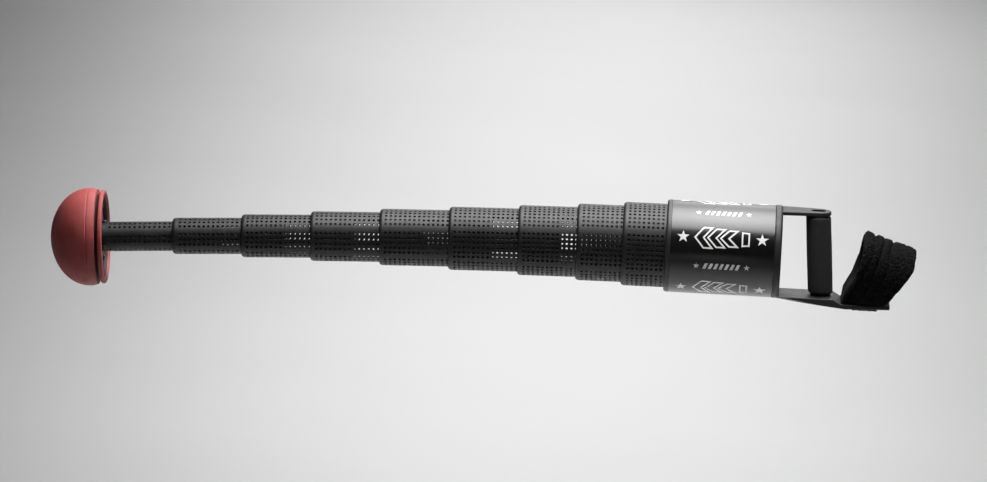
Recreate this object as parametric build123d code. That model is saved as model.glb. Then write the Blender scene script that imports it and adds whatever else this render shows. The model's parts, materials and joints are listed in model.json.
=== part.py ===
"""Telescopic focus stick for boxing training: nine nested tubes with a padded half-ball head.

Frame: origin at the centre of the hand grip on the housing's axis, +X towards the user's
elbow, +Z up (thumb side), millimetres. The stick reaches out along -X and droops a little,
because every tube has some play in the one behind it.
"""
from build123d import *
from math import cos, isclose, radians, sin
import os

# ---- driving dimensions -------------------------------------------------------------------
HOUSING_OD = 120.0
HOUSING_FRONT = -200.0
HOUSING_REAR = -50.0
LIP_LENGTH = 5.0              # thickness of the inward front lip of the housing and each tube
LIP_ROUND = 3.0

TUBE_COUNT = 9
TIP_TUBE = 1
REAR_TUBE = TUBE_COUNT
TIP_TUBE_OD = 38.5
TUBE_OD_STEP = 8.75
TUBE_WALL = 1.6
TUBE_LENGTH = 145.6
TIP_TUBE_LENGTH = 161.0
STAGE_REACH = 90.0            # how far a tube's front stands out when its ribs meet the lip
TIP_TUBE_REACH = 98.9
EXTENSION = {9: 56.0, 8: 59.5, 7: 76.0}   # tubes that are not pulled out to their stop
SAG = 0.4                     # degrees that each tube droops in the one behind it
PLAY = 0.8                    # radial clearance at lips and at guide ribs
BORE_GAP = TUBE_OD_STEP / 2 - TUBE_WALL   # from one tube's outside to the next one's bore

RIB_WIDTH = 5.0
RIB_LENGTH = 50.0
RIB_ANGLES = (30, 90, 150, 210, 270, 330)
RAIL_HEIGHT = 1.6
RAIL_WIDTH = 1.2
RAIL_GAP = 0.6
RAIL_ANGLES = (90, 270)       # the rails beside the top and bottom ribs keep a tube from turning

LABEL_THICKNESS = 0.35
LABEL_FRONT = HOUSING_FRONT + 6.5
RING_OD = 120.8
RING_LENGTH = 9.5
RING_WALL = 1.9
RING_REAR_ROUND = 4.0
END_PLATE = 3.0
BUFFER_THICKNESS = 2.6
FIT = 0.1                     # gap between pieces that are pushed together

GRIP_OD = 33.0
GRIP_TILT = 4.5               # degrees, the top of the grip leans away from the user
CORE_LONG = 26.0
CORE_WIDE = 18.0
CORE_WALL = 3.0
UPPER_ARM_UNDERSIDE = 52.2
UPPER_ARM_THICKNESS = 4.7
UPPER_ARM_ROOT_WIDTH = 39.0
UPPER_ARM_WIDTH = 29.0        # across the rounded tip
UPPER_ARM_TIP = 12.5
LOWER_ARM_WIDTH = 56.0
LOWER_ARM_INNER = -54.0       # level face that faces the hand
CRADLE_INNER = -60.0          # lower floor that the forearm strap lies on
CRADLE_START = 20.0
CRADLE_FLOOR_START = 31.0
LOWER_ARM_END = 94.5
LOWER_ARM_CORNER = 7.0
ARM_EDGE = 1.2                # rounding of both arms' upper edges
# underside of the lower arm as (x, z), from the end plate to the free end
UNDERSIDE = ((HOUSING_REAR - END_PLATE, -60.2), (8.0, -63.4), (37.0, -66.1), (LOWER_ARM_END, -64.4))
# radius of the flared envelope that rounds the underside's edges, at the same places
UNDERSIDE_FLARE = (RING_OD / 2, 69.0, 71.5, 69.4)
STRAP_SLOT = (40.0, 6.0)      # length and width of each slot in the lower arm
STRAP_SLOT_X = 62.0
STRAP_SLOT_Y = 19.0

STRAP_CENTRE = (80.0, 0.0, -16.0)
STRAP_TILT = 18.0
STRAP_BORE = (66.0, 52.0)     # wide, high
STRAP_BODY = (88.0, 81.0)
# side outline of the wrapped strap about its centre: hand side downwards, elbow side upwards
STRAP_OUTLINE = (
    (-36.5, 44.0), (-30.5, 4.0), (-31.0, -20.0), (-35.0, -47.0), (-33.0, -57.0),
    (8.0, -57.0), (27.0, -36.0), (38.5, -10.0), (39.5, 8.0), (36.5, 44.0),
)
SKIRT_TOP = (41.0, -14.0)     # half width and height where the strap leaves the oval downwards
SKIRT_FOOT = (24.0, -62.0)
STRAP_SEAT = 1.0              # gap between the strap and the cradle's floor
STRAP_BELLY = -66.6           # top of the stretch of strap under the arm
STRAP_BELLY_THICKNESS = 2.4
STRAP_LEG_TOP = -50.0
SLOT_MARGIN = 1.0             # between a leg of the strap and its slot, all round
HOOK_TAB = (54.0, 34.0)       # length along the forearm and height
HOOK_TAB_THICKNESS = 2.0

DOME_RADIUS = 63.75
DOME_LENGTH = 51.0            # from the widest circle to the tip
DOME_BACK_RADIUS = 62.1
DOME_BACK = 1.2               # head positions are measured from the tip tube's front end
DOME_WIDEST = -9.6
DOME_SKIN = 6.0
RIM_RADIUS = 61.0
RIM_FRONT = 5.2
RIM_REAR = 11.1
GROOVE_RADIUS = 55.5
BACK_PLATE_THICKNESS = 3.0
HUB_FLANGE_RADIUS = 29.0
HUB_FLANGE_THICKNESS = 7.0
HUB_SPIGOT_LENGTH = 16.0
PLATE_SCREW_CIRCLES = (24.5, 48.0)

os.makedirs("parts", exist_ok=True)


# ---- helpers ------------------------------------------------------------------------------
def turned(corners):
    """Solid of revolution about X. Corners are (x, radius) or (x, radius, rounding)."""
    face = make_face(Polyline([(x, r) for x, r, *_ in corners], close=True))
    for x, r, *rounding in corners:
        if rounding:
            corner = face.vertices().sort_by_distance((x, r, 0))[0]
            face = fillet(corner, rounding[0])
    return revolve(face, Axis.X)


def around(angle):
    """Turn about X that carries +Z to the given angle: 0 faces -Y, 90 is the top."""
    return Rot(90 - angle, 0, 0)


def fins(front, rear, inner, outer, width, angles, sideways=0.0):
    """Curved-topped bars along X on a cylinder, one at each angle, moved sideways if asked."""
    band = turned([(front, inner), (front, outer), (rear, outer), (rear, inner)])
    middle = (front + rear) / 2
    bars = [
        around(a) * Pos(middle, sideways, outer / 2) * Box(rear - front, width, outer * 1.5)
        for a in angles
    ]
    return [bar & band for bar in bars]


def joined(solids):
    whole = solids[0]
    for solid in solids[1:]:
        whole = whole + solid
    return whole


def save(node, shape):
    export_step(shape, f"parts/{node}.step")


# ---- where each tube sits -----------------------------------------------------------------
def tube_radius(number):
    return (TIP_TUBE_OD + TUBE_OD_STEP * (number - 1)) / 2


def tube_length(number):
    return TIP_TUBE_LENGTH if number == TIP_TUBE else TUBE_LENGTH


def tube_reach(number):
    return TIP_TUBE_REACH if number == TIP_TUBE else STAGE_REACH


def tube_extension(number):
    return EXTENSION.get(number, tube_reach(number))


def forward(tilt):
    """Unit vector out of the front of a tube that droops by tilt degrees."""
    return Vector(-cos(radians(tilt)), 0, -sin(radians(tilt)))


def tube_frames():
    """Front centre, droop and sliding direction of every tube, from the rear one to the tip."""
    frames = {}
    front = Vector(HOUSING_FRONT, 0, 0)
    tilt = 0.0
    for number in range(REAR_TUBE, TIP_TUBE - 1, -1):
        overlap = tube_length(number) - tube_reach(number)
        pivot = front - forward(tilt) * (overlap / 2)
        slide = forward(tilt + SAG / 2)
        tilt += SAG
        full = pivot + forward(tilt) * (overlap / 2 + tube_reach(number))
        front = full - slide * (tube_reach(number) - tube_extension(number))
        frames[number] = (front, tilt, slide)
    return frames


FRAMES = tube_frames()


def at_tube(number):
    """Location of a tube's own frame: front centre, with +X pointing to its rear."""
    front, tilt, _ = FRAMES[number]
    return Location(tuple(front), (0, -tilt, 0))


# ---- telescopic tubes ---------------------------------------------------------------------
def guide_rails(bore, front, rear):
    """Two rails on each side of the top and bottom ribs of the next smaller tube."""
    offset = RIB_WIDTH / 2 + RAIL_GAP + RAIL_WIDTH / 2
    rails = []
    for side in (-offset, offset):
        rails += fins(front, rear, bore - RAIL_HEIGHT, bore + TUBE_WALL / 2,
                      RAIL_WIDTH, RAIL_ANGLES, side)
    return rails


def tube(number):
    outer = tube_radius(number)
    bore = outer - TUBE_WALL
    length = tube_length(number)
    if number == TIP_TUBE:
        barrel = turned([(0, bore), (0, outer), (length, outer), (length, bore)])
        details = []
    else:
        lip = tube_radius(number - 1) + PLAY
        barrel = turned([
            (0, lip, 0.4), (0, outer, LIP_ROUND), (length, outer), (length, bore),
            (LIP_LENGTH, bore), (LIP_LENGTH, lip),
        ])
        details = guide_rails(bore, LIP_LENGTH, length - 1)
    rib_top = outer + BORE_GAP - PLAY
    details += fins(length - RIB_LENGTH, length, outer - TUBE_WALL / 2, rib_top,
                    RIB_WIDTH, RIB_ANGLES)
    return joined([barrel] + details)


def make_tubes():
    for number in range(TIP_TUBE, REAR_TUBE + 1):
        save(f"tube_{number}", at_tube(number) * tube(number))


# ---- housing ------------------------------------------------------------------------------
HOUSING_BORE = tube_radius(REAR_TUBE) + BORE_GAP
PLATE_FACE = HOUSING_REAR - END_PLATE
RING_FRONT = HOUSING_REAR - RING_LENGTH
RING_BORE = RING_OD / 2 - RING_WALL


def make_housing():
    skin = HOUSING_OD / 2
    under_label = skin - LABEL_THICKNESS - FIT / 2
    neck = RING_BORE - FIT
    lip = tube_radius(REAR_TUBE) + PLAY
    rear = PLATE_FACE - FIT
    shell = turned([
        (HOUSING_FRONT, lip, 0.4), (HOUSING_FRONT, skin, LIP_ROUND), (LABEL_FRONT, skin),
        (LABEL_FRONT, under_label), (RING_FRONT - FIT, under_label), (RING_FRONT - FIT, neck),
        (rear, neck), (rear, HOUSING_BORE), (HOUSING_FRONT + LIP_LENGTH, HOUSING_BORE),
        (HOUSING_FRONT + LIP_LENGTH, lip),
    ])
    rails = guide_rails(HOUSING_BORE, HOUSING_FRONT + LIP_LENGTH, rear - BUFFER_THICKNESS - 1)
    save("housing_shell", joined([shell] + rails))

    inner = skin - LABEL_THICKNESS
    save("label_sleeve", turned([
        (LABEL_FRONT + FIT, inner), (LABEL_FRONT + FIT, skin),
        (RING_FRONT - 2 * FIT, skin), (RING_FRONT - 2 * FIT, inner),
    ]))

    pad_radius = HOUSING_BORE - RAIL_HEIGHT
    pad_rear = PLATE_FACE - FIT
    pad_front = pad_rear - BUFFER_THICKNESS
    save("rear_buffer_pad", turned([
        (pad_front, 0), (pad_front, pad_radius, 1), (pad_rear, pad_radius), (pad_rear, 0),
    ]))


# ---- handle -------------------------------------------------------------------------------
GRIP_AXIS = Rot(0, -GRIP_TILT, 0)     # carries the upright grip into its leaning place


def grip_axis_x(z):
    """X of the leaning grip's axis at height z."""
    return -sin(radians(GRIP_TILT)) / cos(radians(GRIP_TILT)) * z


def core_section(shrink):
    return SlotOverall(CORE_LONG - 2 * shrink, CORE_WIDE - 2 * shrink)


def upper_arm():
    start = HOUSING_REAR - END_PLATE
    half_tip = UPPER_ARM_WIDTH / 2
    half_root = UPPER_ARM_ROOT_WIDTH / 2
    tip_centre = UPPER_ARM_TIP - half_tip
    outline = make_face(Polyline([
        (start, -half_root), (tip_centre, -half_tip), (tip_centre, half_tip), (start, half_root),
    ], close=True))
    outline += Pos(tip_centre, 0) * Circle(half_tip)
    plate = Pos(0, 0, UPPER_ARM_UNDERSIDE) * extrude(outline, UPPER_ARM_THICKNESS)
    top_edges = plate.edges().group_by(Axis.Z)[-1].sort_by(Axis.X)[1:]
    plate = fillet(top_edges, ARM_EDGE)
    window = Pos(grip_axis_x(UPPER_ARM_UNDERSIDE), 0, UPPER_ARM_UNDERSIDE - 1)
    return plate - window * extrude(core_section(CORE_WALL), UPPER_ARM_THICKNESS + 2)


def lower_arm():
    """Wide arm under the hand, with a lower floor behind it where the strap lies."""
    start, end = UNDERSIDE[0][0], LOWER_ARM_END
    side = Plane.XZ * make_face(Polyline([
        (start, LOWER_ARM_INNER), (CRADLE_START, LOWER_ARM_INNER),
        (CRADLE_FLOOR_START, CRADLE_INNER), (end, CRADLE_INNER + 0.5), *reversed(UNDERSIDE),
    ], close=True))
    slab = extrude(side, LOWER_ARM_WIDTH / 2, both=True)
    slab = fillet(slab.edges().filter_by(Axis.Z).group_by(Axis.X)[-1], LOWER_ARM_CORNER)
    upper_sides = [
        edge for edge in slab.edges()
        if isclose(abs(edge.center().Y), LOWER_ARM_WIDTH / 2) and edge.center().Z > CRADLE_INNER - 0.1
        and edge.length > 2 * ARM_EDGE and abs(edge.tangent_at(0.5).Z) < 0.9
    ]
    slab = fillet(upper_sides, ARM_EDGE)
    # the underside blends into the round ring: a flared envelope trims the slab's corners
    flare = [(x, radius) for (x, _), radius in zip(UNDERSIDE, UNDERSIDE_FLARE)]
    slab = slab & turned([(start, 0), *flare, (end + 1, UNDERSIDE_FLARE[-1]), (end + 1, 0)])
    for y in (-STRAP_SLOT_Y, STRAP_SLOT_Y):
        slot = Pos(STRAP_SLOT_X, y, LOWER_ARM_INNER - 20) * extrude(SlotOverall(*STRAP_SLOT), 30)
        slab = slab - slot
    return slab


SCREW_SHANK = 1.5
SCREW_HEAD = 3.2
SCREW_HEAD_HEIGHT = 2.2
GRIP_SCREW_OFFSETS = (-5.0, 5.0)
ARM_SEAT = 1.0                # depth of the lower arm's seat for the grip's core


def grip_screw_places():
    """Heads sit in counterbores on the lower arm's underside, along the grip's axis."""
    return [GRIP_AXIS * Pos(x, 0, LOWER_ARM_INNER - 4.0) for x in GRIP_SCREW_OFFSETS]


def screw(length):
    """Pan-head screw: head below z = 0, shank above it, with a cross recess."""
    head = Pos(0, 0, -SCREW_HEAD_HEIGHT / 2) * Cylinder(SCREW_HEAD, SCREW_HEAD_HEIGHT)
    head = fillet(head.edges().sort_by(Axis.Z)[0], 0.8)
    recess = Box(3.2, 0.8, 1.2) + Box(0.8, 3.2, 1.2)
    shank = Pos(0, 0, length / 2) * Cylinder(SCREW_SHANK, length)
    return head + shank - Pos(0, 0, -SCREW_HEAD_HEIGHT) * recess


def make_handle():
    ring = turned([
        (RING_FRONT, RING_BORE), (RING_FRONT, RING_OD / 2, 1.5),
        (HOUSING_REAR, RING_OD / 2, RING_REAR_ROUND), (HOUSING_REAR, 0), (PLATE_FACE, 0),
        (PLATE_FACE, RING_BORE),
    ])
    frame = ring + upper_arm() + lower_arm()
    bar_space = GRIP_AXIS * Pos(0, 0, -70) * extrude(core_section(-FIT), 70)
    seat = Pos(0, 0, LOWER_ARM_INNER - ARM_SEAT + 10) * Box(80, 80, 20)
    frame = frame - (bar_space & seat)
    for place in grip_screw_places():
        frame = frame - place * Pos(0, 0, -10) * Cylinder(SCREW_HEAD + 0.4, 20)
        frame = frame - place * Cylinder(SCREW_SHANK + 0.2, 20)
    save("handle_frame", frame)

    top = UPPER_ARM_UNDERSIDE - FIT
    bottom = LOWER_ARM_INNER - ARM_SEAT + FIT
    trim = Pos(0, 0, (top + bottom) / 2) * Box(80, 80, top - bottom)
    bar = GRIP_AXIS * Pos(0, 0, -70) * extrude(core_section(0), 140)
    cavity = GRIP_AXIS * Pos(0, 0, bottom + 14) * extrude(core_section(CORE_WALL), 140)
    core = (bar & trim) - cavity
    for place in grip_screw_places():
        core = core - place * Cylinder(SCREW_SHANK + FIT, 36)
    save("grip_core", core)

    sleeve_top = UPPER_ARM_UNDERSIDE - 1.0
    sleeve_bottom = LOWER_ARM_INNER + 1.8
    sleeve_trim = Pos(0, 0, (sleeve_top + sleeve_bottom) / 2) * Box(
        80, 80, sleeve_top - sleeve_bottom)
    sleeve = (GRIP_AXIS * Cylinder(GRIP_OD / 2, 140)) & sleeve_trim
    sleeve = fillet(sleeve.edges().filter_by(GeomType.ELLIPSE), 2.5)
    bore = GRIP_AXIS * Pos(0, 0, -70) * extrude(core_section(-FIT / 2), 140)
    save("grip_foam", sleeve - bore)

    screws = [place * screw(15) for place in grip_screw_places()]
    save("grip_screws", Compound(children=[s.solid() for s in screws]))


# ---- wrist strap --------------------------------------------------------------------------
def oval_bar(size, length):
    """Oval bar along X, size is (wide, high)."""
    return extrude(Plane.YZ * Ellipse(size[0] / 2, size[1] / 2), length / 2, both=True)


def make_strap():
    place = Location(STRAP_CENTRE, (0, STRAP_TILT, 0))
    skirt = Plane.YZ * make_face(Polyline([
        SKIRT_TOP, SKIRT_FOOT, (-SKIRT_FOOT[0], SKIRT_FOOT[1]), (-SKIRT_TOP[0], SKIRT_TOP[1]),
    ], close=True))
    wrap = oval_bar(STRAP_BODY, 100) + extrude(skirt, 50, both=True)
    side = Plane.XZ * make_face(Polyline(STRAP_OUTLINE, close=True))
    wrap = wrap & extrude(side, 60, both=True)
    wrap = place * (wrap - oval_bar(STRAP_BORE, 120))
    floor = CRADLE_INNER + STRAP_SEAT
    wrap = wrap & (Pos(STRAP_CENTRE[0], 0, floor + 100) * Box(200, 200, 200))

    leg_long = STRAP_SLOT[0] - STRAP_SLOT[1] - 2 * SLOT_MARGIN
    leg_thick = STRAP_SLOT[1] - 2 * SLOT_MARGIN
    drop = STRAP_LEG_TOP - STRAP_BELLY
    legs = [
        Pos(STRAP_SLOT_X, y, STRAP_LEG_TOP - drop / 2) * Box(leg_long, leg_thick, drop)
        for y in (-STRAP_SLOT_Y, STRAP_SLOT_Y)
    ]
    under_wide = 2 * STRAP_SLOT_Y + leg_thick
    under = Pos(STRAP_SLOT_X, 0, STRAP_BELLY - STRAP_BELLY_THICKNESS / 2) * Box(
        leg_long, under_wide, STRAP_BELLY_THICKNESS)
    under = fillet(under.edges().filter_by(Axis.X).group_by(Axis.Z)[0], STRAP_BELLY_THICKNESS - 0.4)
    save("wrist_strap", joined([wrap, under] + legs))

    inside = (STRAP_BODY[0] + 2 * FIT, STRAP_BODY[1] + 2 * FIT)
    outside = (inside[0] + 2 * HOOK_TAB_THICKNESS, inside[1] + 2 * HOOK_TAB_THICKNESS)
    patch = oval_bar(outside, HOOK_TAB[0]) - oval_bar(inside, 60)
    patch = patch & (Pos(0, 45, 4) * Box(60, 60, HOOK_TAB[1]))
    save("strap_hook_tab", place * patch)


# ---- head ---------------------------------------------------------------------------------
def quarter_oval(length, radius):
    """Profile of a dome in front of its widest circle, on the (x, radius) plane."""
    quarter = Pos(DOME_WIDEST - length / 2, radius / 2) * Rectangle(length, radius)
    return quarter & (Pos(DOME_WIDEST, 0) * Ellipse(length, radius))


def domed(length, radius, back):
    """Solid dome that runs on as a short cylinder from its widest circle to the back plane."""
    drum = turned([(DOME_WIDEST, 0), (DOME_WIDEST, radius), (back, radius), (back, 0)])
    return revolve(quarter_oval(length, radius), Axis.X) + drum


def make_head():
    place = at_tube(TIP_TUBE)
    shoulder = -HUB_FLANGE_THICKNESS

    waist = ThreePointArc(
        (DOME_WIDEST, DOME_RADIUS),
        ((DOME_WIDEST + DOME_BACK) / 2, DOME_RADIUS - 0.45),
        (DOME_BACK, DOME_BACK_RADIUS),
    )
    drum = Polyline([
        (DOME_BACK, DOME_BACK_RADIUS), (DOME_BACK, 0), (DOME_WIDEST, 0),
        (DOME_WIDEST, DOME_RADIUS)])
    ball = revolve(quarter_oval(DOME_LENGTH, DOME_RADIUS), Axis.X)
    ball = ball + revolve(make_face([waist, drum]), Axis.X)
    hollow = domed(DOME_LENGTH - DOME_SKIN, DOME_RADIUS - DOME_SKIN, shoulder)
    mouth = turned([
        (shoulder, 0), (shoulder, GROOVE_RADIUS + FIT),
        (DOME_BACK + 1, GROOVE_RADIUS + FIT), (DOME_BACK + 1, 0),
    ])
    save("head_dome", place * (ball - hollow - mouth))

    skin = DOME_SKIN + FIT
    core = domed(DOME_LENGTH - skin, DOME_RADIUS - skin, shoulder - FIT)
    save("head_foam_core", place * core)

    plate_seat = GROOVE_RADIUS - 3.5
    flange_bore = PLATE_SCREW_CIRCLES[1] - 4
    rim = turned([
        (shoulder, flange_bore), (shoulder, GROOVE_RADIUS), (RIM_FRONT, GROOVE_RADIUS),
        (RIM_FRONT, RIM_RADIUS, 1.8), (RIM_REAR, RIM_RADIUS, 2.4), (RIM_REAR, RIM_RADIUS - 4.5, 0.8),
        (RIM_FRONT - 1, plate_seat), (0, plate_seat), (0, flange_bore),
    ])
    hub = turned([
        (shoulder, 0), (shoulder, HUB_FLANGE_RADIUS), (-FIT, HUB_FLANGE_RADIUS),
        (-FIT, tube_radius(TIP_TUBE) - TUBE_WALL - FIT),
        (HUB_SPIGOT_LENGTH, tube_radius(TIP_TUBE) - TUBE_WALL - FIT, 1),
        (HUB_SPIGOT_LENGTH, tube_radius(TIP_TUBE) - TUBE_WALL - 4),
        (0, tube_radius(TIP_TUBE) - TUBE_WALL - 4), (0, 0),
    ])
    plate = turned([
        (FIT, tube_radius(TIP_TUBE) + 0.3), (FIT, plate_seat - FIT),
        (FIT + BACK_PLATE_THICKNESS, plate_seat - FIT, 0.5),
        (FIT + BACK_PLATE_THICKNESS, tube_radius(TIP_TUBE) + 0.3),
    ])

    # plate screws enter from the rear and point to the dome
    plate_rear = FIT + BACK_PLATE_THICKNESS
    screw_down = Rot(0, -90, 0)
    plate_screws = []
    for circle in PLATE_SCREW_CIRCLES:
        for angle in (45, 135, 225, 315):
            where = around(angle) * Pos(plate_rear + FIT, 0, circle) * screw_down
            plate_screws.append(where * screw(8))
            passage = where * Cylinder(SCREW_SHANK + FIT, 40)
            plate = plate - passage
            blind = where * Pos(0, 0, 5) * Cylinder(SCREW_SHANK + FIT, 11)
            hub = hub - blind
            rim = rim - blind
    save("head_rim_ring", place * rim)
    save("head_back_plate", place * plate)
    save("head_plate_screws", Compound(children=[(place * s).solid() for s in plate_screws]))

    # radial screws through the tip tube into the hub's spigot
    spigot_x = (FIT + BACK_PLATE_THICKNESS + HUB_SPIGOT_LENGTH) / 2
    tip_tube = tube(TIP_TUBE)
    radial = []
    for angle in (90, 210, 330):
        where = around(angle) * Pos(spigot_x, 0, tube_radius(TIP_TUBE) + FIT) * Rot(180, 0, 0)
        radial.append(where * screw(5))
        passage = where * Cylinder(SCREW_SHANK + FIT, 14)
        hub = hub - passage
        tip_tube = tip_tube - passage
    save("head_hub", place * hub)
    save("tube_screws", Compound(children=[(place * s).solid() for s in radial]))
    save("tube_1", place * tip_tube)


make_tubes()
make_housing()
make_handle()
make_strap()
make_head()
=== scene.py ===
"""Looks of the telescopic focus stick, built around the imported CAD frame.

Lengths in the pieces' own code are millimetres and become metres when a mesh is made.
Every turned piece is drawn in its tube's own frame: origin at the front centre, +X to the rear.
"""
import json
import math

import bmesh
import bpy
import numpy as np
from mathutils import Matrix, Vector, noise


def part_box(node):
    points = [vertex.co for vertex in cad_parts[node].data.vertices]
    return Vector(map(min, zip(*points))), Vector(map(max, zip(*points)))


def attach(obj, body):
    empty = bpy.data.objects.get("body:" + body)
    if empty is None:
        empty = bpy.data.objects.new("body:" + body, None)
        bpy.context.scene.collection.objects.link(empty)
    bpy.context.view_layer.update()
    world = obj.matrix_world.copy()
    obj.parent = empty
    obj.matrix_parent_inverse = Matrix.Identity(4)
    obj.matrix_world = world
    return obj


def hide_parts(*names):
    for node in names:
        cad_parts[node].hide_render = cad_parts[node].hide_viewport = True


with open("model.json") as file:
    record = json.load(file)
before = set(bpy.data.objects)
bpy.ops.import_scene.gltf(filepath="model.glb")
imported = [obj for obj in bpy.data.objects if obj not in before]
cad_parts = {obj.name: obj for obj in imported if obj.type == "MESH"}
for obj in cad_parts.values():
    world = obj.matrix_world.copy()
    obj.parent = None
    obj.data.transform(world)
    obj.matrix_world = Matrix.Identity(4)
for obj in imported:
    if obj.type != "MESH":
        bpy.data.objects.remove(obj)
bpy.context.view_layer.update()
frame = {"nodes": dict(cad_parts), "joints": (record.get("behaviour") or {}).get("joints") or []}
NODES = frame["nodes"]

MM = 0.001
TURNS = 240                   # facets round a turned piece
SHARP_ANGLE = math.radians(34)
ROOT = "handle_housing"

# ---- sizes shared with the CAD model, mm ---------------------------------------------------
TUBE_NUMBERS = range(1, 10)
TIP, REAR = 1, 9
TUBE_WALL = 1.6
TUBE_STEP = 4.375             # radius from one tube to the next
PLAY = 0.8
LIP_LENGTH = 5.0
LIP_ROUND = 3.2
LIP_OVAL = (4.6, 3.1)         # length and depth of a tube lip's soft front edge
RIB_WIDTH = 5.0
RIB_LENGTH = 50.0
RIB_HEIGHT = TUBE_STEP - TUBE_WALL - PLAY
RIB_SLOPE = 0.08              # how far a rib's side and front lean

HOLE_ROWS = {1: 2, 2: 3, 3: 4, 4: 4, 5: 5, 6: 6, 7: 7, 8: 7, 9: 8}
ROW_PITCH = {1: 19.3, 2: 16.3, 3: 12.8, 4: 12.3, 5: 10.2, 6: 9.3, 7: 7.6, 8: 7.4, 9: 6.8}
HOLE_RADIUS = 1.62
HOLE_BEVEL = 0.22
HOLE_CELL = 4.4               # square patch of wall round each hole
HOLE_PITCH = 6.175
FIRST_HOLE = 8.6
SECOND_FIRST_HOLE = 10.6
FAR_SIDE_LEAD = 2.0           # holes on the +Y half sit this much nearer the front
LEAD_BLEND = 0.24             # part of the radius over which that lead sets in
LAST_HOLE_MARGIN = 7.0
TIP_HOLE_PITCH = 6.5
TIP_FIRST_HOLE = 17.4
HOLE_GROUPS = 6
HOLE_SIDES = 12
CELL_STEPS = 3                # facets along each side of a hole's cell
WIDEST_FACET = 4.6            # degrees
LIP_EDGE = 0.4                # rounding of a lip's inner edge
LIP_STEPS = 10
WALL_EDGE = 0.3               # chamfer at the tip tube's front, and the run from lip to wall
FRONT_BAND = 12.0             # length of a CAD tube that its radius is measured on
TINY = 0.01


# ---- meshes --------------------------------------------------------------------------------
def make_object(name, vertices, faces, smooth_angle=SHARP_ANGLE):
    """Object from points in millimetres, with outward normals and smooth shading."""
    mesh = bpy.data.meshes.new(name)
    mesh.from_pydata([tuple(v) for v in np.asarray(vertices) * MM], [], faces)
    mesh.validate()
    work = bmesh.new()
    work.from_mesh(mesh)
    bmesh.ops.recalc_face_normals(work, faces=work.faces)
    work.to_mesh(mesh)
    work.free()
    mesh.polygons.foreach_set("use_smooth", [True] * len(mesh.polygons))
    mesh.set_sharp_from_angle(angle=smooth_angle)
    obj = bpy.data.objects.new(name, mesh)
    bpy.context.scene.collection.objects.link(obj)
    return obj


def finish_piece(obj, body, material, replaced=()):
    """Material and body of a new piece, and the CAD nodes that it takes the place of."""
    obj.data.materials.clear()
    obj.data.materials.append(material)
    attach(obj, body)
    if replaced:
        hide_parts(*replaced)


def rounded(corners, steps=7):
    """Outline through corners (x, r) or (x, r, rounding), with each rounding as an arc."""
    points = []
    count = len(corners)
    for i, corner in enumerate(corners):
        here = np.array(corner[:2], float)
        if len(corner) < 3:
            points.append(here)
            continue
        before = np.array(corners[i - 1][:2], float) - here
        after = np.array(corners[(i + 1) % count][:2], float) - here
        before /= np.linalg.norm(before)
        after /= np.linalg.norm(after)
        half = math.acos(float(np.clip(before @ after, -1, 1))) / 2
        reach = corner[2] / math.tan(half)
        centre = here + (before + after) / np.linalg.norm(before + after) * corner[2] / math.sin(half)
        first = here + before * reach - centre
        last = here + after * reach - centre
        a0 = math.atan2(first[1], first[0])
        turn = math.atan2(last[1], last[0]) - a0
        turn = (turn + math.pi) % (2 * math.pi) - math.pi
        for k in range(steps + 1):
            a = a0 + turn * k / steps
            points.append(centre + corner[2] * np.array([math.cos(a), math.sin(a)]))
    return points


def ring_points(x, radius, angles):
    """Points round the X axis, at one radius or one for each angle; angle 0 faces -Y, 90 is the top."""
    return np.stack([np.full(len(angles), x), -radius * np.cos(angles), radius * np.sin(angles)], 1)


def placed(points, matrix):
    """Points moved from a piece's own frame into the shared one, in millimetres."""
    rotation = np.array(matrix.to_3x3())
    return np.asarray(points) @ rotation.T + np.array(matrix.translation)


def lathe(name, outline, matrix, steps=TURNS):
    """Solid turned about X from a closed outline; outline points on the axis become poles."""
    angles = np.linspace(0, 2 * math.pi, steps, endpoint=False)
    vertices, rings = [], []
    for x, r in outline:
        if r < 1e-6:
            rings.append([len(vertices)])
            vertices.append((x, 0.0, 0.0))
        else:
            rings.append(list(range(len(vertices), len(vertices) + steps)))
            vertices.extend(ring_points(x, r, angles))
    faces = []
    for a, b in zip(rings, rings[1:] + rings[:1]):
        if len(a) == 1 and len(b) == 1:
            continue
        for i in range(steps):
            j = (i + 1) % steps
            if len(a) == 1:
                faces.append((a[0], b[i], b[j]))
            elif len(b) == 1:
                faces.append((a[i], b[0], a[j]))
            else:
                faces.append((a[i], b[i], b[j], a[j]))
    return make_object(name, placed(vertices, matrix), faces)


# ---- where the tubes are -------------------------------------------------------------------
def tube_places():
    """Matrix (mm), outer radius and length of every tube, measured on the CAD tubes."""
    slides = {int(j["child"].split("_")[1]): j["axis"] for j in frame["joints"]}
    places, tilt = {}, 0.0
    for number in sorted(TUBE_NUMBERS, reverse=True):
        axis = slides[number]
        halfway = math.atan2(-axis[2], -axis[0])
        tilt = 2 * halfway - tilt
        turn = Matrix.Rotation(-tilt, 4, "Y")
        corners = np.array([v.co for v in NODES[f"tube_{number}"].data.vertices]) / MM
        local = corners @ np.array(turn.to_3x3())
        front = local[:, 0].min()
        near = local[local[:, 0] < front + FRONT_BAND]
        radius = (near[:, 2].max() - near[:, 2].min()) / 2
        middle = (near[:, 2].max() + near[:, 2].min()) / 2
        origin = turn @ Vector((front, 0, middle))
        length = local[:, 0].max() - front
        places[number] = (Matrix.Translation(origin) @ turn, radius, length)
    return places


PLACES = tube_places()
HEAD_PLACE = PLACES[TIP][0]
STILL = Matrix.Identity(4)


# ---- materials -----------------------------------------------------------------------------
NOISE_LOW, NOISE_HIGH = 0.3, 0.7    # the part of a noise's values that its two tones are spread over


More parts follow.
